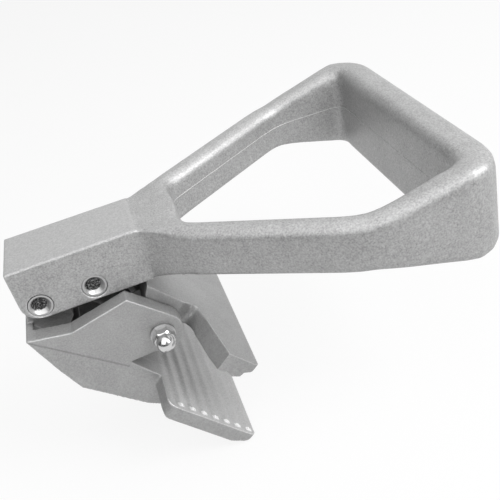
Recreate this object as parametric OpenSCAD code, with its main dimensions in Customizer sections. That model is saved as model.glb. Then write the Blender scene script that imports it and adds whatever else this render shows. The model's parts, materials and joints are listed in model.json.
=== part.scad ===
// Panel carrier: a cast handle, two cast jaws and the link that closes them.
// Lifting the handle pulls the link, which swings the short toothed jaw
// against the panel and presses it on the long pad of the outer jaw.
// X runs from the pivots to the grip, Z leaves the top of the stem, and
// the origin is the middle of the outer jaw's gripping face.

/* [Stem] */
// Width of the stem over its two cheeks
stem_w = 36.4; // [32:0.2:42]
// Height of the stem from its top to the lower edge of the cheeks
stem_h = 28.5; // [26:0.5:32]
// Length of the stem with its machined flat top
stem_flat = 63; // [58:1:68]
// Thickness of each cheek
cheek_t = 5.5; // [4:0.5:6.5]
// Thickness of the stem's roof over the channel
roof_t = 6; // [5:0.5:7.5]
// Radius of the stem's lower front corner
stem_corner_r = 9.4; // [3:0.2:9.4]

/* [Handle loop] */
// Thickness of the loop's arms, seen from above
arm_w = 14; // [13:0.5:18]
// Height of the arms where they leave the stem
arm_h = 24.7; // [22:0.1:27]
// Radius of the arms' upper edges
arm_edge_r = 6.4; // [4:0.1:6.5]
// Radius of the arms' lower edges
arm_low_edge_r = 2.5; // [1:0.1:4]
// Distance from the stem's front to the inner face of the grip
grip_x = 200; // [185:1:215]
// Thickness of the grip at its top
grip_t = 17.2; // [14:0.1:20]
// Radius of the grip's upper edges
grip_edge_r = 6.5; // [4:0.1:7]
// Radius of the grip's lower edges
grip_low_edge_r = 4.3; // [2:0.1:6]
// How much thicker the grip is at its bottom than at its top
grip_draft = 4; // [0:0.1:5]
// Width of the loop over its two arms, carried on to the grip's square corners
loop_w = 168; // [150:1:180]
// Height of the grip
grip_h = 45.5; // [38:0.5:52]
// How far the grip stands above the stem's top
grip_rise = 9.5; // [6:0.5:13]
// Distance from the stem's front to the bend in each arm
bend_x = 155.6; // [145:0.2:162]
// Length of the web between the stem and the hand opening
web_len = 21.5; // [18:0.5:24]
// Distance of each arm's centre line from the middle at the web
arm_root_y = 28.2; // [27:0.2:32]
// Height of the machined pad above the cast surface behind it
pad_proud = 0.5; // [0.2:0.1:0.8]

/* [Pivots] */
// Diameter of the two pins through the stem
pin_d = 8; // [7:0.5:9]
// Diameter of the pins' cupped heads
pin_head_d = 11.6; // [10.6:0.2:12.4]
// Depth of the cup in each head
cup_depth = 2; // [1:0.1:2.4]
// Distance from the stem's front to the outer jaw's pin
hinge_x = 9.4; // [8.4:0.2:10.4]
// Depth of both pins below the stem's top
pin_depth = 21.4; // [20.4:0.2:22.4]
// Distance between the two pins
pin_pitch = 26.4; // [25:0.2:27.6]
// Diameter of the bolt on which the inner jaw swings
bolt_d = 6; // [5:0.5:6.5]
// Diameter of the pin at the link's lower end
tail_pin_d = 6; // [5:0.5:6.5]
// Distance between the bolt and the link's lower pin
tail_r = 14.1; // [13.7:0.1:14.6]

/* [Jaws] */
// Angle of the gripping faces below the stem
jaw_tilt = 50; // [47:1:52]
// Opening between the two gripping faces
mouth = 27; // [26:0.5:29]
// Width of both pads, across the panel's edge
pad_w = 100; // [80:2:120]
// Length of the outer jaw's pad
pad_len = 55; // [48:1:62]
// Thickness of the outer jaw's pad
pad_t = 7.7; // [6:0.1:9]
// Width of the outer jaw over its two arms
fork_w = 54.4; // [51:0.2:58]
// Thickness of each arm of the outer jaw
fork_arm_t = 9.2; // [7.5:0.1:9.4]
// Radius of the arms' round end about the bolt
fork_end_r = 10.7; // [10:0.1:11.5]
// Thickness of the inner jaw's pad
inner_pad_t = 10.6; // [9.5:0.1:11.5]
// Length of the inner jaw from the bolt to its tip
inner_reach = 42.5; // [40:0.5:45]
// Distance between two ridges of the gripping faces
ridge_pitch = 7.1; // [5.5:0.1:8.5]
// Height of the ridges
ridge_h = 0.9; // [0.6:0.1:1.6]

/* [Link] */
// Width of the link plates
link_w = 11; // [10:0.5:11.5]
// Thickness of each link plate
link_t = 3.5; // [3:0.1:4]
// Width of the inner jaw's tail between the plates
tail_w = 10; // [8:0.5:11]

/* [Hidden] */

// Clearances
running = 0.05;
side_gap = 0.5;
stop_gap = 0.3;
over = 1;

// Pivots in the stem's frame, as X and Z
hinge = [hinge_x, -pin_depth];
link_top = [hinge_x + pin_pitch, -pin_depth];
bolt_from_hinge = [48.6, -32.6];
bolt = hinge + bolt_from_hinge;

// Levels across the pads in the jaw frame, whose origin is the bolt
inner_face = 4.7;
outer_face = inner_face - mouth;
inner_back = inner_face + inner_pad_t;
outer_back = outer_face - pad_t;
pad_start = 13.5;
pad_end = pad_start + pad_len;
tail_angle = 221.3;
tail = tail_r * [cos(tail_angle), sin(tail_angle)];

// Widths across the stem
bush_flange_t = 0.8;
channel_w = stem_w - 2 * cheek_t;
lug_w = channel_w - 2 * side_gap - 2 * bush_flange_t;
fork_in_w = fork_w - 2 * fork_arm_t;
root_w = fork_in_w - 2 * side_gap;
plate_in = tail_w / 2 + 0.3;
plate_out = plate_in + link_t;

// Turns a point of the jaw frame into the stem's frame
function jaw_to_stem(p) = bolt + [p[0] * cos(jaw_tilt) + p[1] * sin(jaw_tilt),
                                  -p[0] * sin(jaw_tilt) + p[1] * cos(jaw_tilt)];
// Turns a point of the stem's frame into the jaw frame
function stem_to_jaw(q) = let (r = q - bolt) [r[0] * cos(jaw_tilt) - r[1] * sin(jaw_tilt),
                                              r[0] * sin(jaw_tilt) + r[1] * cos(jaw_tilt)];

// Ridges of the outer pad: each fills this share of its pitch and leaves a flat strip
ridge_first = pad_start + 5.1;
ridge_count = floor((pad_end - ridge_first) / ridge_pitch);
ridge_share = 0.7;

// The origin lies on the flat strip between two ridges, nearest the pad's middle
middle_strip = ridge_first + (floor(ridge_count / 2) - (1 - ridge_share) / 2) * ridge_pitch;
face_centre = jaw_to_stem([middle_strip, outer_face]);

cast_colour = [0.72, 0.72, 0.72];
steel_colour = [0.80, 0.81, 0.83];
bush_colour = [0.62, 0.50, 0.30];

module in_part_frame() {
    translate([-face_centre[0], 0, -face_centre[1]]) children();
}

// Extrudes a side view, drawn as X and Z, evenly about the mid plane
module across(width) {
    rotate([90, 0, 0]) linear_extrude(width, center = true) children();
}

// Draws a side view in the jaw frame
module jaw_view() {
    translate(bolt) rotate(-jaw_tilt) children();
}

// A round bar along Y between two places across the stem
module bar(centre, d, from, to) {
    translate([centre[0], from, centre[1]]) rotate([-90, 0, 0]) cylinder(d = d, h = to - from, $fn = 48);
}

// A tube along Y
module sleeve(centre, outer_d, inner_d, from, to) {
    difference() {
        bar(centre, outer_d, from, to);
        bar(centre, inner_d, from - over, to + over);
    }
}

// Handle: a ring of rounded sections between an outer and an inner outline
function mix(a, b, t) = a * (1 - t) + b * t;
function bend(a, b, c, t) = mix(mix(a, b, t), mix(b, c, t), t);
function clamp(t) = max(0, min(1, t));
function unit(v) = v / norm(v);
function left_of(v) = [-v[1], v[0]];
function toward(a, b, d) = a + (b - a) * d / norm(b - a);

arm_r = arm_w / 2;
grip_r = grip_t / 2;
open_x = stem_flat + web_len;
root_point = [open_x, arm_root_y];
bend_point = [bend_x, loop_w / 2 - arm_r - 3.2];
grip_point = [grip_x + grip_r, loop_w / 2 - grip_r];

// Share of the swelling from the arms to the grip, and the ring's top and bottom, along X
function flare(x) = pow(clamp((x - bend_x) / (grip_x - bend_x)), 1.1);
function web_drop(x) = clamp((open_x - 4 - x) / (web_len - 4));
function loop_top(x) = mix(-pad_proud, grip_rise, flare(x));
function loop_bottom(x) = mix(mix(-arm_h, grip_rise - grip_h, flare(x)), -stem_h + 0.3, web_drop(x));

// Centre line of one arm and half the grip, as seen from above
bend_reach = 14;
corner_reach = 15;
arm_line = concat(
    [for (t = [0.04, 0.4]) mix(root_point, bend_point, t)],
    [for (k = [0:4]) bend(toward(bend_point, root_point, bend_reach), bend_point,
                          toward(bend_point, grip_point, bend_reach), k / 4)],
    [for (k = [1:5]) mix(toward(bend_point, grip_point, bend_reach),
                         toward(grip_point, bend_point, corner_reach), k / 6)],
    [for (k = [0:5]) bend(toward(grip_point, bend_point, corner_reach), grip_point,
                          grip_point - [0, corner_reach], k / 5)]);

// A station of the ring: outer point, inner point and the radius of its edges
function arm_station(i) =
    let (last = len(arm_line) - 1, p = arm_line[i], half = mix(arm_r, grip_r, flare(p[0])),
         dir = arm_line[min(i + 1, last)] - arm_line[max(i - 1, 0)],
         n = i == last ? [1, 0] : left_of(unit(dir)))
    [p + n * half, p - n * half, mix(arm_edge_r, grip_edge_r, flare(p[0]))];

half_stem = stem_w / 2;
arm_dir = unit(bend_point - root_point);
inner_corner = root_point - [0, arm_r / arm_dir[0]];
root_outer = arm_station(0)[0];
root_foot = [stem_flat - 0.3, half_stem - 0.5];

// Stations of the web, from the stem's corner to the root of the arm
web_stations = [
    [[stem_flat - 3, half_stem - 0.8], [open_x, inner_corner[1] - 9], 1.2],
    [root_foot, inner_corner - [0, 3.7], 1.6],
    [mix(root_foot, root_outer, 0.34), inner_corner + [0.4, -1.3], arm_edge_r / 2],
    [mix(root_foot, root_outer, 0.7), inner_corner + [2, 0.8], arm_edge_r * 0.8]];
half_ring = concat(web_stations, [for (i = [0:len(arm_line) - 1]) arm_station(i)]);
function mirrored(p) = [p[0], -p[1]];
ring = concat(half_ring, [for (i = [len(half_ring) - 1:-1:0])
    [mirrored(half_ring[i][0]), mirrored(half_ring[i][1]), half_ring[i][2]]]);

section_sides = 20;
// One ring of points: straight across with rounded edges, and a draft on the grip's inner face
function section(s) = let (centre = (s[0] + s[1]) / 2, n = unit(s[0] - s[1]), half = norm(s[0] - s[1]) / 2,
                           low_r = min(s[2], mix(arm_low_edge_r, grip_low_edge_r, flare(centre[0]))))
    [for (k = [0:section_sides - 1])
        let (a = 360 * (k + 0.5) / section_sides, low = sin(a) < 0, r = low ? low_r : s[2],
             p = centre + n * ((half - r) * sign(cos(a)) + r * cos(a)),
             z = low ? loop_bottom(p[0]) + r + r * sin(a) : loop_top(p[0]) - r + r * sin(a),
             q = p - n * (low && cos(a) < 0 ? grip_draft * flare(centre[0]) : 0))
        [q[0], q[1], z]];

ring_points = [for (s = ring) each section(s)];
ring_faces = [for (i = [0:len(ring) - 1], k = [0:section_sides - 1])
    let (a = i * section_sides, b = ((i + 1) % len(ring)) * section_sides, k2 = (k + 1) % section_sides)
    each [[a + k, b + k, a + k2], [a + k2, b + k, b + k2]]];

module loop() {
    polyhedron(ring_points, ring_faces);
}

module stem_outline() {
    difference() {
        translate([0, -stem_h]) square([stem_flat, stem_h]);
        difference() {
            translate([-over, -stem_h - over]) square(stem_corner_r + over);
            translate([stem_corner_r, -stem_h + stem_corner_r]) circle(stem_corner_r, $fn = 64);
        }
    }
}

edge_bevel = 0.8;
// Cross-section of the stem with its bevelled top edges, as Y and Z
module stem_section() {
    half = half_stem;
    polygon([[-half, -stem_h], [half, -stem_h], [half, -edge_bevel], [half - edge_bevel, 0],
             [edge_bevel - half, 0], [-half, -edge_bevel]]);
}

module stem() {
    intersection() {
        across(stem_w) stem_outline();
        rotate([90, 0, 90]) linear_extrude(stem_flat) stem_section();
    }
}

head_seat = 2.6;
hinge_recess = 0.2;
link_recess = 0.9;
channel_end = stem_flat - 3.5;
module stem_cuts() {
    translate([-over, -channel_w / 2, -stem_h - over])
        cube([channel_end + over, channel_w, stem_h - roof_t + over]);
    for (p = [hinge, link_top]) {
        bar(p, pin_d + 2 * running, -stem_w, stem_w);
        for (side = [-1, 1])
            mirrored_y(side) bar(p, pin_head_d + 0.5, half_stem - head_seat, half_stem + over);
    }
}

module handle() {
    color(cast_colour) {
        difference() {
            stem();
            stem_cuts();
        }
        loop();
    }
}

// Keeps a piece on the far side, or turns it over to the near side
module mirrored_y(side) {
    if (side > 0) children();
    else mirror([0, 1, 0]) children();
}

// Outer jaw: two arms on a wedge-shaped body, with a wide ridged pad
heel = [-55.7, -32.1];
crease_end = [-5, outer_face + 0.6];
crest = stem_to_jaw([bolt[0] - 10.2, -stem_h - stop_gap]);
shoulder = [-39.5, -18.7];

module outer_arm_view() {
    polygon([heel, shoulder, crest, [-3, fork_end_r - 0.1], [0, 0], [7.5, -fork_end_r + 3], [2.8, -11.2],
             crease_end]);
    circle(fork_end_r, $fn = 96);
}

base_low = [[-33.7, -39.8], [-19.1, -44], [15.8, -39.6], [24, -37], [48, outer_back]];
module outer_base_view() {
    polygon(concat([heel], base_low, [[48, outer_face - 1], [20, outer_face], crease_end]));
}

// The base's flanks lean out by a small draft below the crease
draft = 4.5;
base_depth = 30;
module base_flanks() {
    dir = crease_end - heel;
    run = norm(dir);
    half = fork_w / 2;
    spread = base_depth * tan(draft);
    translate([bolt[0], 0, bolt[1]]) rotate([0, jaw_tilt, 0])
        translate([heel[0], 0, heel[1]]) rotate([0, -atan2(dir[1], dir[0]), 0])
            rotate([90, 0, 90]) translate([0, 0, -10]) linear_extrude(run + 80)
                polygon([[-half, 0.1], [-half, 20], [half, 20], [half, 0], [half + spread, -base_depth],
                         [-half - spread, -base_depth], [-half, 0]]);
}

// Plan of a pad with rounded corners, as length along the jaw and Y
module pad_plan(from, to, width, r) {
    half = width / 2;
    difference() {
        translate([from, -half]) square([to - from, width]);
        for (side = [-1, 1], end = [0, 1]) {
            x = end == 0 ? from : to;
            s = end == 0 ? 1 : -1;
            difference() {
                translate([x, side * half]) square(2 * r, center = true);
                translate([x + s * r, side * (half - r)]) circle(r, $fn = 48);
            }
        }
    }
}

// Turns a plan into a solid across the pads, between two levels
module over_pad(low, high) {
    translate([bolt[0], 0, bolt[1]]) rotate([0, jaw_tilt, 0]) translate([0, 0, low])
        linear_extrude(high - low) children();
}

module outer_ridges_view() {
    for (i = [0:ridge_count - 1])
        translate([ridge_first + i * ridge_pitch, outer_face])
            polygon([[0, -1], [0, 0], [ridge_pitch * 0.3, ridge_h], [ridge_pitch * ridge_share, 0],
                     [ridge_pitch * ridge_share, -1]]);
}

ridge_end_slope = 3;
// Cuts the ends of the ridges to a slope, as Y and the level across the pads
module ridge_ends(width, low, rise) {
    half = width / 2;
    translate([bolt[0], 0, bolt[1]]) rotate([0, jaw_tilt, 0]) rotate([90, 0, 90])
        linear_extrude(pad_end + 20)
            polygon([[-half, low - 3], [half, low - 3], [half, low], [half - ridge_end_slope, low + rise],
                     [ridge_end_slope - half, low + rise], [-half, low]]);
}

tip_cut = 11;
module outer_pad_view() {
    polygon([[pad_start - 3, outer_face], [pad_end - 0.8, outer_face], [pad_end, outer_face - 1.2],
             [pad_end - 1.5, outer_back + 3.5], [pad_end - tip_cut, outer_back], [pad_start + 3, outer_back],
             [pad_start - 3, outer_back + 4]]);
}

module outer_pad() {
    intersection() {
        across(pad_w + 10) jaw_view() outer_pad_view();
        over_pad(outer_back - 2, outer_face + 2) pad_plan(pad_start, pad_end, pad_w, 5);
    }
    intersection() {
        across(pad_w - 2) jaw_view() outer_ridges_view();
        ridge_ends(pad_w - 2, outer_face - 0.1, ridge_h + 0.2);
    }
}

// Hollow between the arms, open on top: it runs back beside the lug, almost to the heel
shelf_dir = unit(shoulder - heel);
heel_wall = 5;
pocket_heel = heel + heel_wall * shelf_dir - [0, 2.3];
pocket_floor = [-33, pocket_heel[1]];
module outer_pocket_view() {
    polygon([pocket_heel + 20 * left_of(shelf_dir), pocket_heel, pocket_floor, [-31, outer_face],
             [pad_start + 30, outer_face], [pad_start + 30, 40], [pocket_heel[0], 40]]);
}

lug_r = 10;
module outer_lug() {
    across(lug_w) {
        translate(hinge) circle(lug_r, $fn = 96);
        polygon([hinge + [-lug_r + 0.6, -2], hinge + [lug_r, 0], jaw_to_stem(shoulder) + [2, -1],
                 jaw_to_stem(pocket_floor - [1, 1]), jaw_to_stem(pocket_heel + [0.5, -1]),
                 jaw_to_stem(heel) + [1.2, -0.5]]);
    }
}

module outer_jaw() {
    color(cast_colour) difference() {
        union() {
            difference() {
                union() {
                    across(fork_w) jaw_view() outer_arm_view();
                    intersection() {
                        across(fork_w + 20) jaw_view() outer_base_view();
                        base_flanks();
                    }
                }
                across(fork_in_w) jaw_view() outer_pocket_view();
            }
            outer_pad();
            outer_lug();
        }
        bar(hinge, bush_d, -stem_w, stem_w);
        bar(bolt, bolt_d + 2 * running, -fork_w, fork_w);
    }
}

// Inner jaw: a root on the bolt, a tail for the link and a short toothed pad
inner_bush_d = bolt_d + 2;
barrel_r = 7.5;
root_heel = -17;
neck_in = 2.2;
flare_start = 13.6;
flare_end = 23.6;

// Gripping face of the short jaw: three teeth on a curve that falls away to the tip
module inner_view() {
    face = inner_face;
    polygon([[root_heel, inner_back], [root_heel + 2.5, inner_back - 5.5], [-barrel_r, 0.5], [0, 0],
             [barrel_r - 0.2, -1], [15.5, face], [21.5, face - 0.3], [27.2, face + 0.5], [27.6, face + 1.3],
             [32.7, face - 0.4], [36.6, face + 1.4], [37.3, face + 4.2], [inner_reach - 1.4, face + 5.8],
             [inner_reach, inner_back - 3.2], [inner_reach - 0.8, inner_back]]);
    circle(barrel_r, $fn = 96);
}

module tail_view() {
    translate(tail) circle(6, $fn = 64);
    polygon([tail + 6 * [-0.66, 0.75], [-barrel_r + 1, 4], [4, -barrel_r + 1.2], tail + 6 * [0.66, -0.75]]);
}

module inner_plan() {
    half = pad_w / 2;
    root = root_w / 2;
    round_r = 4;
    edge = [[root_heel - 2, root], [inner_bush_d / 2 + 1, root], [flare_start - 2.6, root - neck_in],
            [flare_start, root - neck_in + 0.6], [flare_start + 1.6, root + 3.4], [flare_end, half],
            [inner_reach, half]];
    difference() {
        polygon(concat(edge, [for (i = [len(edge) - 1:-1:0]) mirrored(edge[i])]));
        for (side = [-1, 1])
            difference() {
                translate([inner_reach, side * half]) square(2 * round_r, center = true);
                translate([inner_reach - round_r, side * (half - round_r)]) circle(round_r, $fn = 48);
            }
    }
}

module inner_jaw() {
    color(cast_colour) difference() {
        union() {
            intersection() {
                across(pad_w + 2) jaw_view() inner_view();
                over_pad(-20, inner_back + 1) inner_plan();
            }
            across(tail_w) jaw_view() tail_view();
        }
        bar(bolt, inner_bush_d, -stem_w, stem_w);
        bar(jaw_to_stem(tail), tail_pin_d + 2 * running, -stem_w, stem_w);
    }
}

// Link: two steel plates between the upper pin and the inner jaw's tail
tail_play = 0.75;
module link_plate(side) {
    low = jaw_to_stem(tail);
    dir = (low - link_top) / norm(low - link_top);
    n = left_of(dir) * (link_w / 2 - 0.4);
    color(steel_colour) mirrored_y(side) difference() {
        union() {
            translate([0, plate_out, 0]) rotate([90, 0, 0]) linear_extrude(link_t) {
                polygon([link_top + n, low + n, low - n, link_top - n]);
                translate(link_top) circle(d = link_w, $fn = 64);
            }
            bar(low, link_w, plate_in, plate_out);
        }
        bar(link_top, pin_d + 2 * running, 0, stem_w);
        bar(low, tail_pin_d + 2 * tail_play, 0, stem_w);
    }
}

// Pins whose heads are turned down in their seats and cupped at the ends
cup_rim = 0.9;
cup_floor_d = 6.4;
module cupped_pin(centre, recess) {
    seat = half_stem - head_seat + running;
    face = half_stem - recess;
    color(steel_colour) difference() {
        union() {
            bar(centre, pin_d, -seat - 0.1, seat + 0.1);
            for (side = [-1, 1]) mirrored_y(side) bar(centre, pin_head_d, seat, face);
        }
        for (side = [-1, 1])
            mirrored_y(side) translate([centre[0], face - cup_depth, centre[1]]) rotate([-90, 0, 0])
                cylinder(d1 = cup_floor_d, d2 = pin_head_d - 2 * cup_rim, h = cup_depth + 0.01, $fn = 64);
    }
}

clip_t = 0.8;
tail_pin_half = plate_out + side_gap + clip_t + 0.6;
module link_lower_pin() {
    color(steel_colour) bar(jaw_to_stem(tail), tail_pin_d, -tail_pin_half, tail_pin_half);
}

module link_pin_clips() {
    color(steel_colour) for (side = [-1, 1])
        mirrored_y(side) sleeve(jaw_to_stem(tail), tail_pin_d + 4, tail_pin_d + 2 * running,
                                plate_out + side_gap, plate_out + side_gap + clip_t);
}

spacer_d = 11;
module link_centre_spacer() {
    half = plate_in - running;
    color(steel_colour) sleeve(link_top, spacer_d, pin_d + 2 * running, -half, half);
}

module link_side_spacer(side) {
    color(steel_colour) mirrored_y(side)
        sleeve(link_top, spacer_d, pin_d + 2 * running, plate_out + running, channel_w / 2 - running);
}

bush_d = pin_d + 2;
module outer_jaw_bush(side) {
    color(bush_colour) mirrored_y(side) difference() {
        union() {
            bar(hinge, bush_d - 0.04, 0.6, lug_w / 2);
            bar(hinge, bush_d + 4, lug_w / 2, lug_w / 2 + bush_flange_t);
        }
        bar(hinge, pin_d + 2 * running, -over, stem_w);
    }
}

module inner_jaw_bush(side) {
    color(bush_colour) mirrored_y(side)
        sleeve(bolt, inner_bush_d - 0.04, bolt_d + 2 * running, root_w / 2 - 12, root_w / 2);
}

// Bolt, washers and cap nut that hold the inner jaw between the arms
washer_t = 1.6;
washer_d = 12.5;
nut_flats = 10;
nut_base = 5.5;
dome_r = 4.6;
dome_top = 12;
head_t = 4;
thread_end = fork_w / 2 + washer_t + nut_base + 2;

module hex_along_y(flats, from, to) {
    translate([bolt[0], from, bolt[1]]) rotate([-90, 0, 0])
        cylinder(d = flats / cos(30), h = to - from, $fn = 6);
}

module pivot_bolt() {
    head = fork_w / 2 + washer_t;
    color(steel_colour) {
        bar(bolt, bolt_d, -thread_end, head + 0.1);
        intersection() {
            hex_along_y(nut_flats, head, head + head_t);
            translate([bolt[0], head - 0.01, bolt[1]]) rotate([-90, 0, 0])
                cylinder(r1 = nut_flats / 2 + 4.6, r2 = nut_flats / 2 + 0.2, h = head_t + 0.01, $fn = 48);
        }
    }
}

module pivot_washer(side) {
    color(steel_colour) mirrored_y(side)
        sleeve(bolt, washer_d, bolt_d + 0.4, fork_w / 2, fork_w / 2 + washer_t);
}

module cap_nut() {
    seat = fork_w / 2 + washer_t;
    neck = 1.4;
    color(steel_colour) mirror([0, 1, 0]) difference() {
        union() {
            intersection() {
                hex_along_y(nut_flats, seat, seat + nut_base);
                translate([bolt[0], seat, bolt[1]]) rotate([-90, 0, 0])
                    cylinder(r1 = nut_flats / 2 + 4, r2 = nut_flats / 2 - 0.1, h = nut_base, $fn = 48);
            }
            bar(bolt, 2 * dome_r, seat + nut_base - 0.1, seat + nut_base + neck);
            intersection() {
                translate([bolt[0], seat + nut_base + neck, bolt[1]]) sphere(r = dome_r, $fn = 48);
                bar(bolt, 4 * dome_r, seat + nut_base + neck, seat + dome_top + 1);
            }
        }
        bar(bolt, bolt_d + 2 * running, seat - over, thread_end + 0.5);
    }
}

in_part_frame() handle();
in_part_frame() outer_jaw();
in_part_frame() inner_jaw();
in_part_frame() link_plate(-1);  // link_plate_near
in_part_frame() link_plate(1);  // link_plate_far
in_part_frame() cupped_pin(hinge, hinge_recess);  // outer_jaw_pin
in_part_frame() cupped_pin(link_top, link_recess);  // link_upper_pin
in_part_frame() link_lower_pin();
in_part_frame() link_pin_clips();
in_part_frame() link_centre_spacer();
in_part_frame() link_side_spacer(-1);  // link_side_spacer_near
in_part_frame() link_side_spacer(1);  // link_side_spacer_far
in_part_frame() outer_jaw_bush(-1);  // outer_jaw_bush_near
in_part_frame() outer_jaw_bush(1);  // outer_jaw_bush_far
in_part_frame() inner_jaw_bush(-1);  // inner_jaw_bush_near
in_part_frame() inner_jaw_bush(1);  // inner_jaw_bush_far
in_part_frame() pivot_bolt();
in_part_frame() pivot_washer(-1);  // pivot_washer_near
in_part_frame() pivot_washer(1);  // pivot_washer_far
in_part_frame() cap_nut();
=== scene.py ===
import json
import math

import bmesh
import bpy
import numpy as np
from mathutils import Matrix, Vector
from mathutils.bvhtree import BVHTree


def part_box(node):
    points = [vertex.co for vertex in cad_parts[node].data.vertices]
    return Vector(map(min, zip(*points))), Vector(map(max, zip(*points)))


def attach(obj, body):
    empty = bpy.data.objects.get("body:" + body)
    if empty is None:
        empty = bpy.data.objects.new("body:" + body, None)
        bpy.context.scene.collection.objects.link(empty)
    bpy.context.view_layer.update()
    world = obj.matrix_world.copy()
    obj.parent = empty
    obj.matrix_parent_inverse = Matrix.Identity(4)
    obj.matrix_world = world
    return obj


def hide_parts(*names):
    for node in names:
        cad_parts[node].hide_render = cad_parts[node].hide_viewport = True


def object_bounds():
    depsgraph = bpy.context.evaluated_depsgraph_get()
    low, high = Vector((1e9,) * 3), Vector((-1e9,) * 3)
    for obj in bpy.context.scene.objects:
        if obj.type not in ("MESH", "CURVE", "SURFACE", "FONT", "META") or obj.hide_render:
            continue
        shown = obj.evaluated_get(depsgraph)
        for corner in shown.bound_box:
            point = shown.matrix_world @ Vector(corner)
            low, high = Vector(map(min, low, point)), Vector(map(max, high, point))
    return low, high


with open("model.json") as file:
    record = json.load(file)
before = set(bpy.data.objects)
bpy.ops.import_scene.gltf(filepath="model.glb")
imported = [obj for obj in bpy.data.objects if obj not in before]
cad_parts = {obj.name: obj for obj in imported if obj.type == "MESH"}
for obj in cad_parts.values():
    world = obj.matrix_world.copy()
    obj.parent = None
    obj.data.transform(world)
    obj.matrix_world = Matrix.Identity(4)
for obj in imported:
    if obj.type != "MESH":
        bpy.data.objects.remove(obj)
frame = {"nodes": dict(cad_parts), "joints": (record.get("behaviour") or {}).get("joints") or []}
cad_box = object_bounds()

MM = 0.001

# Places that the frame gives, and the part's own sizes that go with them
JOINT_PLACES = {joint["name"]: Vector(joint["pos_m"]) for joint in frame["joints"]}
HINGE = JOINT_PLACES["outer_jaw_hinge"]
BOLT = JOINT_PLACES["inner_jaw_hinge"]
LINK_TOP = JOINT_PLACES["link_hinge"]
STEM_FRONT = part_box("handle")[0].x
STEM_TOP = HINGE.z + 21.4 * MM
STEM_END = STEM_FRONT + 63 * MM
STEM_HALF = 18.2 * MM
WEB_END = STEM_END + 21.5 * MM
JAW_TILT = math.radians(50)

# Camera at the photograph's angle, worked out from the edges of the stem
CAMERA_PLACE = HINGE + Vector((63.0, -312.9, 182.4)) * MM
CAMERA_AZIMUTH = math.radians(7.615)
CAMERA_DOWN = math.radians(32.92)
CAMERA_ROLL = math.radians(15.63)
CAMERA_LENS = 51.84


def add_camera():
    forward = Vector((math.sin(CAMERA_AZIMUTH) * math.cos(CAMERA_DOWN),
                      math.cos(CAMERA_AZIMUTH) * math.cos(CAMERA_DOWN),
                      -math.sin(CAMERA_DOWN)))
    level = forward.cross(Vector((0, 0, 1))).normalized()
    upright = level.cross(forward)
    right = level * math.cos(CAMERA_ROLL) - upright * math.sin(CAMERA_ROLL)
    up = right.cross(forward)
    turn = Matrix((right, up, -forward)).transposed().to_4x4()
    data = bpy.data.cameras.new("camera")
    data.lens = CAMERA_LENS
    data.sensor_width = 36
    data.clip_start = 0.01
    camera = bpy.data.objects.new("camera", data)
    camera.matrix_world = Matrix.Translation(CAMERA_PLACE) @ turn
    bpy.context.scene.collection.objects.link(camera)
    bpy.context.scene.camera = camera


add_camera()


# Shader sockets as numbers in plain Python sums
class Socket:
    tree = None

    def __init__(self, link):
        self.link = link

    @classmethod
    def node(cls, kind, settings=None, inputs=None, out=0):
        made = cls.tree.nodes.new(kind)
        for name, value in (settings or {}).items():
            if name == "stops":
                ramp = made.color_ramp
                while len(ramp.elements) < len(value):
                    ramp.elements.new(0.5)
                for stop, (place, grey) in zip(ramp.elements, value):
                    stop.position = place
                    stop.color = (grey, grey, grey, 1)
            else:
                setattr(made, name, value)
        for key, value in (inputs or {}).items():
            if isinstance(value, Socket):
                cls.tree.links.new(value.link, made.inputs[key])
            else:
                made.inputs[key].default_value = value
        return cls(made.outputs[out])

    def maths(self, operation, other, swapped=False):
        pair = (other, self) if swapped else (self, other)
        return Socket.node("ShaderNodeMath", {"operation": operation}, dict(enumerate(pair)))

    def __add__(self, other):
        return self.maths("ADD", other)

    def __radd__(self, other):
        return self.maths("ADD", other, True)

    def __sub__(self, other):
        return self.maths("SUBTRACT", other)

    def __rsub__(self, other):
        return self.maths("SUBTRACT", other, True)

    def __mul__(self, other):
        return self.maths("MULTIPLY", other)

    def __rmul__(self, other):
        return self.maths("MULTIPLY", other, True)

    def __gt__(self, other):
        return self.maths("GREATER_THAN", other)

    def __lt__(self, other):
        return self.maths("LESS_THAN", other)


def object_place():
    return Socket.node("ShaderNodeTexCoord", out="Object")


def axes(place):
    return [Socket.node("ShaderNodeSeparateXYZ", inputs={0: place}, out=k) for k in range(3)]


# Noise from 0 to 1 whose blotches are about this wide
def blotches(place, width, detail=2.0, roughness=0.55):
    return Socket.node("ShaderNodeTexNoise", inputs={
        "Vector": place, "Scale": 1 / width, "Detail": detail, "Roughness": roughness})


def between(low, high, value):
    return Socket.node("ShaderNodeMapRange", {"interpolation_type": "SMOOTHSTEP"},
                       {"Value": value, "From Min": low, "From Max": high})


def distance_from_axis(place, centre):
    x, y, z = axes(place)
    dx = x - centre.x
    dz = z - centre.z
    return (dx * dx + dz * dz).maths("POWER", 0.5)


def relief(height, depth, strength=1.0):
    return Socket.node("ShaderNodeBump", inputs={"Height": height, "Distance": depth, "Strength": strength})


def material(name, build):
    made = bpy.data.materials.new(name)
    made.use_nodes = True
    Socket.tree = made.node_tree
    build(lambda socket, value: feed(made.node_tree.nodes["Principled BSDF"], socket, value))
    return made


def feed(shader, name, value):
    if isinstance(value, Socket):
        Socket.tree.links.new(value.link, shader.inputs[name])
    else:
        shader.inputs[name].default_value = value


def grey(value):
    return (value, value, value, 1)


# Cast aluminium, blasted with fine shot: pale, matt and faintly cloudy
HANDLE_TONE = 0.38
JAW_TONE = 0.355
HANDLE_SPECKLE = 1.2
JAW_SPECKLE = 0.7
CAST_METALLIC = 0.55
PEEN_DEPTH = 0.12 * MM
PEEN_STRENGTH = 0.8


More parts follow.
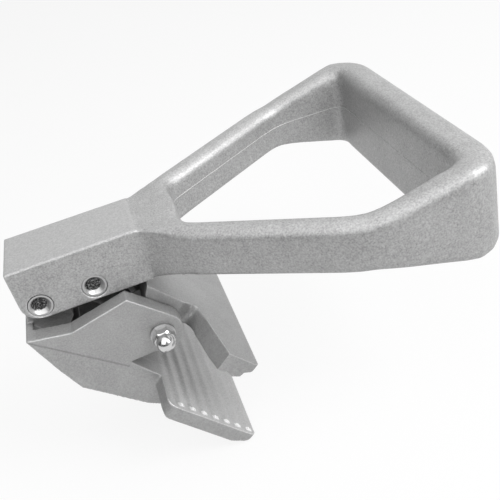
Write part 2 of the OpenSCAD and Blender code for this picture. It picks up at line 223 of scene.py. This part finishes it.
def cast_finish(coarseness, pale):
    place = object_place()
    grain = blotches(place, 0.8 * MM, 3)
    peened = blotches(place, 1.9 * MM, 2)
    cloud = blotches(place, 16 * MM, 3)
    # Convex edges are made lighter: a painted highlight along the edges of every casting
    painted_edge_highlight = between(0.51, 0.56, Socket.node("ShaderNodeNewGeometry", out="Pointiness"))
    speckle = coarseness * ((grain - 0.5) + 0.35 * (peened - 0.5))
    tone = pale * (1 + speckle + 0.3 * (cloud - 0.5) + 0.45 * painted_edge_highlight)
    rough = 0.47 + 0.3 * (peened - 0.5)
    height = 0.5 * grain + peened
    return place, tone, rough, height


def cast_aluminium(shade):
    place, tone, rough, height = cast_finish(JAW_SPECKLE, JAW_TONE)
    shade("Base Color", tone)
    shade("Metallic", CAST_METALLIC)
    shade("Roughness", rough)
    shade("Normal", relief(height, PEEN_DEPTH, PEEN_STRENGTH))


# Places on the jaws, counted from the bolt: along the pads, and square to them
def jaw_axes(x, z):
    beside = x - BOLT.x
    above = z - BOLT.z
    along = beside * math.cos(JAW_TILT) - above * math.sin(JAW_TILT)
    level = beside * math.sin(JAW_TILT) + above * math.cos(JAW_TILT)
    return along, level


# The outer jaw's pad face and a thin band just below it are a lighter tone, the ends of its ridges carry a
# painted highlight, and painted shade darkens the crease between its arms and its base
RIDGE_END = 46 * MM
PAD_FACE = -22.3 * MM
PAD_START = 17 * MM
RIDGE_END_HIGHLIGHT_TONE = 0.85
PAD_LIGHTENING = 0.3
CREASE_SHADE = 0.28
CREASE_START = Vector((-55.7, -32.1)) * MM
CREASE_END = Vector((-4.2, -23.9)) * MM


def ridges_with_painted_light(shade):
    place, tone, rough, height = cast_finish(JAW_SPECKLE, JAW_TONE)
    x, y, z = axes(place)
    along, level = jaw_axes(x, z)
    raised = between(PAD_FACE + 0.12 * MM, PAD_FACE + 0.4 * MM, level) * (along > PAD_START)
    # Painted highlight: the ends of the ridges take a flat pale tone
    ridge_end_highlight = raised * (y.maths("ABSOLUTE", 0) > RIDGE_END)
    # Painted shade: a dark line along the crease between the arms and the base
    run = (CREASE_END - CREASE_START).normalized()
    off_crease = (level - CREASE_START.y) * run.x - (along - CREASE_START.x) * run.y
    painted_crease_shade = between(0.8 * MM, 0.1 * MM, off_crease.maths("ABSOLUTE", 0)) * (along < CREASE_END.x)
    # The pad face and a thin band just below it are made lighter
    lighter_pad = between(PAD_FACE - 0.6 * MM, PAD_FACE - 0.1 * MM, level)
    lighter_pad = lighter_pad * between(PAD_START - 4 * MM, PAD_START, along)
    cast = tone * (1 + PAD_LIGHTENING * lighter_pad) * (1 - CREASE_SHADE * painted_crease_shade)
    shade("Base Color", cast * (1 - ridge_end_highlight) + RIDGE_END_HIGHLIGHT_TONE * ridge_end_highlight)
    shade("Metallic", CAST_METALLIC)
    shade("Roughness", rough * (1 - 0.4 * ridge_end_highlight))
    shade("Normal", relief(height * (1 - ridge_end_highlight), PEEN_DEPTH, PEEN_STRENGTH))


# The handle's casting has its flat top milled after blasting
MILLED_DEPTH = 0.35 * MM
MILLED_TONE = 0.425
MILLED_ROUGHNESS = 0.36


def milled_handle(shade):
    place, tone, rough, height = cast_finish(HANDLE_SPECKLE, HANDLE_TONE)
    x, y, z = axes(place)
    milled = (z > STEM_TOP - MILLED_DEPTH) * (x < STEM_END + 0.1 * MM)
    fine = blotches(place, 0.8 * MM, 2)
    milled_tone = MILLED_TONE * (1 + 0.7 * (fine - 0.5))
    shade("Base Color", milled_tone * milled + tone * (1 - milled))
    shade("Metallic", CAST_METALLIC)
    shade("Roughness", MILLED_ROUGHNESS * milled + rough * (1 - milled))
    shade("Normal", relief(height * (1 - 0.9 * milled), PEEN_DEPTH, PEEN_STRENGTH))


# Turned steel; the floor in the cup of each pin is dark and mottled: partly a rough punched floor, partly
# painted shade
CUP_FLOOR = 4.1 * MM
CUP_FLOOR_INSIDE = 3.5 * MM
CUP_SHADE_SHIFT = Vector((-0.5, 0, 0.5)) * MM


def cupped_steel(centre):
    def build(shade):
        place = object_place()
        x, y, z = axes(place)
        stain = blotches(place, 0.9 * MM, 4, 0.7)
        # Painted shade: the dark floor is shifted up and towards -X, where the cup's shade falls
        from_middle = distance_from_axis(place, centre + CUP_SHADE_SHIFT)
        floor = between(CUP_FLOOR, CUP_FLOOR_INSIDE, from_middle)
        mottled = Socket.node("ShaderNodeValToRGB", {"stops": [(0.38, 0.02), (0.52, 0.09), (0.64, 0.42)]},
                              {0: stain})
        shade("Base Color", 0.5 * (1 - floor) + Socket.node("ShaderNodeRGBToBW", inputs={0: mottled}) * floor)
        shade("Metallic", 1.0)
        shade("Roughness", 0.45 + 0.1 * floor)
        shade("Normal", relief(stain * floor, 0.15 * MM, 0.6))
    return build


def worn_metal(tone, roughness, contrast=0.3, colour=(1, 1, 1)):
    def build(shade):
        place = object_place()
        stain = blotches(place, 1.2 * MM, 3)
        cloud = blotches(place, 9.6 * MM, 2)
        level = tone * (1 + contrast * (stain - 0.5) + contrast * (cloud - 0.5))
        tinted = Socket.node("ShaderNodeVectorMath", {"operation": "SCALE"}, {0: colour, "Scale": level})
        shade("Base Color", tinted)
        shade("Metallic", 1.0)
        shade("Roughness", roughness * (1 + 0.4 * (stain - 0.5)))
        shade("Normal", relief(stain, 0.02 * MM, 0.5))
    return build


FINISHES = {
    "inner_jaw": material("blasted_casting", cast_aluminium),
    "outer_jaw": material("casting_with_painted_light", ridges_with_painted_light),
    "handle": material("milled_casting", milled_handle),
    "outer_jaw_pin": material("outer_jaw_pin_steel", cupped_steel(HINGE)),
    "link_upper_pin": material("link_pin_steel", cupped_steel(LINK_TOP)),
    "rolled": material("rolled_steel", worn_metal(0.42, 0.45)),
    "bright": material("bright_steel", worn_metal(0.55, 0.25)),
    "zinc": material("zinc_plate", worn_metal(0.50, 0.30, contrast=0.2)),
    "bronze": material("bronze_bush", worn_metal(0.6, 0.4, colour=(0.9, 0.68, 0.38))),
    "chrome": material("chromed_nut", worn_metal(0.64, 0.2, contrast=0.08)),
}
NODE_FINISH = {
    "handle": "handle", "outer_jaw": "outer_jaw", "inner_jaw": "inner_jaw",
    "outer_jaw_pin": "outer_jaw_pin", "link_upper_pin": "link_upper_pin", "cap_nut": "chrome",
    "link_lower_pin": "bright", "link_pin_clips": "bright", "pivot_bolt": "zinc",
}


def finish_of(node):
    if node in NODE_FINISH:
        return FINISHES[NODE_FINISH[node]]
    if "bush" in node:
        return FINISHES["bronze"]
    return FINISHES["zinc" if "washer" in node else "rolled"]


for name, node in frame["nodes"].items():
    node.data.materials.clear()
    node.data.materials.append(finish_of(name))


# Castings: each CAD solid's own form, with the soft edges that a blasted casting has
def merged_copy(node):
    mesh = frame["nodes"][node].data.copy()
    shape = bmesh.new()
    shape.from_mesh(mesh)
    bmesh.ops.remove_doubles(shape, verts=shape.verts, dist=0.002 * MM)
    shape.to_mesh(mesh)
    shape.free()
    return mesh


def worked_in(piece):
    graph = bpy.context.evaluated_depsgraph_get()
    mesh = bpy.data.meshes.new_from_object(piece.evaluated_get(graph))
    piece.modifiers.clear()
    piece.data = mesh
    return mesh


def vertex_places(mesh):
    places = np.zeros(len(mesh.vertices) * 3)
    mesh.vertices.foreach_get("co", places)
    return places.reshape(-1, 3)


def add_smoothing(piece, name, weights, rounds):
    group = piece.vertex_groups.new(name=name)
    levels = np.round(weights * 20).astype(int)
    for level in np.unique(levels):
        if level:
            group.add(np.flatnonzero(levels == level).tolist(), float(level) / 20, "REPLACE")
    smooth = piece.modifiers.new(name, "SMOOTH")
    smooth.factor = 0.5
    smooth.iterations = rounds
    smooth.vertex_group = name


def casting(node, grid, passes, triangles, tilt=0.0):
    mesh = merged_copy(node)
    mesh.transform(Matrix.Rotation(-tilt, 4, "Y"))
    piece = bpy.data.objects.new(node + "_casting", mesh)
    bpy.context.scene.collection.objects.link(piece)
    remesh = piece.modifiers.new("grid", "REMESH")
    remesh.mode = "VOXEL"
    remesh.voxel_size = grid
    places = vertex_places(worked_in(piece)) @ np.array(Matrix.Rotation(tilt, 3, "Y")).T
    for name, (softness, rounds) in passes.items():
        add_smoothing(piece, name, softness(places), rounds)
    thinned = piece.modifiers.new("thinned", "DECIMATE")
    thinned.ratio = min(1.0, triangles / (2 * len(piece.data.polygons)))
    mesh = worked_in(piece)
    mesh.transform(Matrix.Rotation(tilt, 4, "Y"))
    mesh.shade_smooth()
    mesh.materials.clear()
    mesh.materials.append(finish_of(node))
    piece.vertex_groups.clear()
    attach(piece, node)
    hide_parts(node)
    return piece


def ramp(low, high, values):
    t = np.clip((values - low) / (high - low), 0, 1)
    return t * t * (3 - 2 * t)


# The stem keeps its machined edges, and the loop is soft all over
def loop_softness(places):
    x, y, z = places.T
    loop = ramp(STEM_END + 0.8 * MM, STEM_END + 3 * MM, x)
    return np.maximum(loop, 0.1)


# The cheeks run into the arms in one long curve
def root_softness(places):
    x, y, z = places.T
    near_root = ramp(14 * MM, 7 * MM, abs(x - STEM_END - 1 * MM))
    cheek = ramp(1.2 * MM, 4 * MM, STEM_TOP - z) * ramp(22.5 * MM, 18 * MM, STEM_TOP - z)
    return near_root * cheek * ramp(STEM_HALF - 5 * MM, STEM_HALF - 2 * MM, abs(y))


# The web's top runs down into the far and near arm's inner side in a wide round
def web_softness(places):
    x, y, z = places.T
    beside = ramp(15 * MM, 9 * MM, abs(x - WEB_END - 2 * MM)) * ramp(5 * MM, 10 * MM, abs(y))
    return beside * ramp(27 * MM, 23 * MM, abs(y)) * ramp(9 * MM, 5 * MM, STEM_TOP - z)


# The inner corners beside the grip are hollow, but for their lowest part
INNER_CORNER = Vector((STEM_FRONT + 202.4 * MM, 66.8 * MM))


def corner_softness(places):
    x, y, z = places.T
    reach = np.hypot(x - INNER_CORNER.x, abs(y) - INNER_CORNER.y)
    return ramp(14 * MM, 7 * MM, reach) * ramp(STEM_TOP - 38 * MM, STEM_TOP - 26 * MM, z)


def even(places):
    return np.ones(len(places))


# Places along the jaws, across their pads and across their width
def jaw_places(places):
    x, y, z = places.T
    along, level = jaw_axes(x, z)
    return along, level, abs(y - BOLT.y)


# The ridges are worn round, but their ends stay sharp
def ridge_softness(places):
    along, level, side = jaw_places(places)
    on_pad = ramp(PAD_START - 1 * MM, PAD_START + 1 * MM, along) * (level > PAD_FACE - 0.5 * MM)
    return on_pad * ramp(RIDGE_END, RIDGE_END - 1.5 * MM, side)


# The root flares into the pad in a soft hollow
def neck_softness(places):
    along, level, side = jaw_places(places)
    return ramp(7 * MM, 3 * MM, abs(along - 14 * MM)) * ramp(8 * MM, 4 * MM, abs(side - 18 * MM))


HANDLE_PASSES = {"loop": (loop_softness, 36), "root": (root_softness, 360), "web": (web_softness, 130),
                 "corners": (corner_softness, 260)}
handle = casting("handle", 0.6 * MM, HANDLE_PASSES, 190000)
OUTER_JAW_PASSES = {"edges": (even, 3), "ridges": (ridge_softness, 60)}
INNER_JAW_PASSES = {"edges": (even, 3), "neck": (neck_softness, 90)}
casting("outer_jaw", 0.45 * MM, OUTER_JAW_PASSES, 180000, JAW_TILT)
casting("inner_jaw", 0.4 * MM, INNER_JAW_PASSES, 120000, JAW_TILT)


# Parting line of the mould: a fine bead round the inner side of the loop
PARTING_RADIUS = 0.16 * MM
PARTING_STEPS = 240
PARTING_LEVEL = STEM_TOP - 12 * MM
LOOP_MIDDLE = Vector((STEM_FRONT + 150 * MM, 0, PARTING_LEVEL))


def parting_path():
    surface = BVHTree.FromObject(handle, bpy.context.evaluated_depsgraph_get())
    turns = [2 * math.pi * k / PARTING_STEPS for k in range(PARTING_STEPS)]
    return [surface.ray_cast(LOOP_MIDDLE, Vector((math.cos(a), math.sin(a), 0)))[0] for a in turns]


def bead_tree(finish):
    tree = bpy.data.node_groups.new("bead_along_path", "GeometryNodeTree")
    tree.interface.new_socket("Geometry", in_out="INPUT", socket_type="NodeSocketGeometry")
    tree.interface.new_socket("Bead radius", in_out="INPUT", socket_type="NodeSocketFloat")
    tree.interface.new_socket("Geometry", in_out="OUTPUT", socket_type="NodeSocketGeometry")
    source = tree.nodes.new("NodeGroupInput")
    result = tree.nodes.new("NodeGroupOutput")
    profile = tree.nodes.new("GeometryNodeCurvePrimitiveCircle")
    profile.inputs["Resolution"].default_value = 8
    sweep = tree.nodes.new("GeometryNodeCurveToMesh")
    realize = tree.nodes.new("GeometryNodeRealizeInstances")
    coat = tree.nodes.new("GeometryNodeSetMaterial")
    coat.inputs["Material"].default_value = finish
    tree.links.new(source.outputs["Geometry"], sweep.inputs["Curve"])
    tree.links.new(source.outputs["Bead radius"], profile.inputs["Radius"])
    tree.links.new(profile.outputs["Curve"], sweep.inputs["Profile Curve"])
    tree.links.new(sweep.outputs["Mesh"], realize.inputs["Geometry"])
    tree.links.new(realize.outputs["Geometry"], coat.inputs["Geometry"])
    tree.links.new(coat.outputs["Geometry"], result.inputs["Geometry"])
    return tree


def set_input(modifier, tree, name, value):
    for item in tree.interface.items_tree:
        if item.name == name and item.in_out == "INPUT":
            modifier[item.identifier] = value


def add_parting_line(radius):
    points = parting_path()
    curve = bpy.data.curves.new("parting_path", "CURVE")
    curve.dimensions = "3D"
    spline = curve.splines.new("POLY")
    spline.points.add(len(points) - 1)
    for point, place in zip(spline.points, points):
        point.co = (*place, 1)
    spline.use_cyclic_u = True
    path = bpy.data.objects.new("parting_path", curve)
    bpy.context.scene.collection.objects.link(path)
    tree = bead_tree(finish_of("handle"))
    bead = path.modifiers.new("bead", "NODES")
    bead.node_group = tree
    set_input(bead, tree, "Bead radius", radius)
    mesh = bpy.data.meshes.new_from_object(path.evaluated_get(bpy.context.evaluated_depsgraph_get()))
    bpy.data.objects.remove(path)
    line = bpy.data.objects.new("parting_line", mesh)
    bpy.context.scene.collection.objects.link(line)
    mesh.shade_smooth()
    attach(line, "handle")


add_parting_line(PARTING_RADIUS)


# Floor, light and white surroundings
FLOOR_SIDE = 6
FLOOR_TONE = 0.72
FLOOR_WHITE = 0.88


def seen_by(*rays):
    path = Socket.tree.nodes.new("ShaderNodeLightPath")
    seen = Socket(path.outputs[rays[0]])
    for name in rays[1:]:
        seen = seen.maths("MAXIMUM", Socket(path.outputs[name]))
    return seen


def add_floor():
    bpy.ops.mesh.primitive_plane_add(size=FLOOR_SIDE, location=(0, 0, cad_box[0][2]))
    floor = bpy.context.object
    floor.name = "floor"
    pale = bpy.data.materials.new("pale_floor")
    pale.use_nodes = True
    Socket.tree = pale.node_tree
    pale.node_tree.nodes["Principled BSDF"].inputs["Base Color"].default_value = grey(FLOOR_TONE)
    pale.node_tree.nodes["Principled BSDF"].inputs["Roughness"].default_value = 0.9
    lit = Socket(pale.node_tree.nodes["Principled BSDF"].outputs[0])
    glow = Socket.node("ShaderNodeEmission", inputs={"Color": grey(1), "Strength": 1.0})
    seen = seen_by("Is Camera Ray", "Is Glossy Ray", "Is Transmission Ray")
    mixed = Socket.node("ShaderNodeMixShader", inputs={0: seen * FLOOR_WHITE, 1: lit, 2: glow})
    pale.node_tree.links.new(mixed.link, pale.node_tree.nodes["Material Output"].inputs["Surface"])
    floor.data.materials.append(pale)


# Name, place, side and watts of each soft lamp, which looks at the part's middle
LAMPS = [
    ("key", (0.75, -0.45, 0.75), 0.6, 10),
    ("near", (-0.35, -0.6, 0.9), 1.0, 7),
    ("top", (0.15, 0.1, 1.0), 1.0, 3),
]
PART_MIDDLE = Vector((0.05, 0, 0.05))


def add_lamp(name, place, size, power):
    data = bpy.data.lights.new(name, "AREA")
    data.size = size
    data.energy = power
    lamp = bpy.data.objects.new(name, data)
    lamp.location = place
    lamp.rotation_euler = (PART_MIDDLE - Vector(place)).to_track_quat("-Z", "Y").to_euler()
    bpy.context.scene.collection.objects.link(lamp)


# The room is white all round, and its light is weaker from the near left side
WORLD_LIGHT = 0.45
WEAK_SIDE = 0.12


def add_world():
    world = bpy.data.worlds.new("surroundings")
    bpy.context.scene.world = world
    world.use_nodes = True
    Socket.tree = world.node_tree
    background = world.node_tree.nodes["Background"]
    background.inputs["Color"].default_value = grey(1)
    x, y, z = axes(Socket.node("ShaderNodeTexCoord", out="Generated"))
    toward_far_right = 0.75 * x + 0.6 * y
    room = WEAK_SIDE + (1 - WEAK_SIDE) * between(-0.8, 0.7, toward_far_right)
    mirrored = seen_by("Is Glossy Ray", "Is Transmission Ray")
    strength = room * (WORLD_LIGHT + (1 - WORLD_LIGHT) * mirrored)
    strength = strength.maths("MAXIMUM", seen_by("Is Camera Ray"))
    world.node_tree.links.new(strength.link, background.inputs["Strength"])


add_floor()
for lamp in LAMPS:
    add_lamp(*lamp)
add_world()
bpy.context.scene.view_settings.view_transform = "Standard"
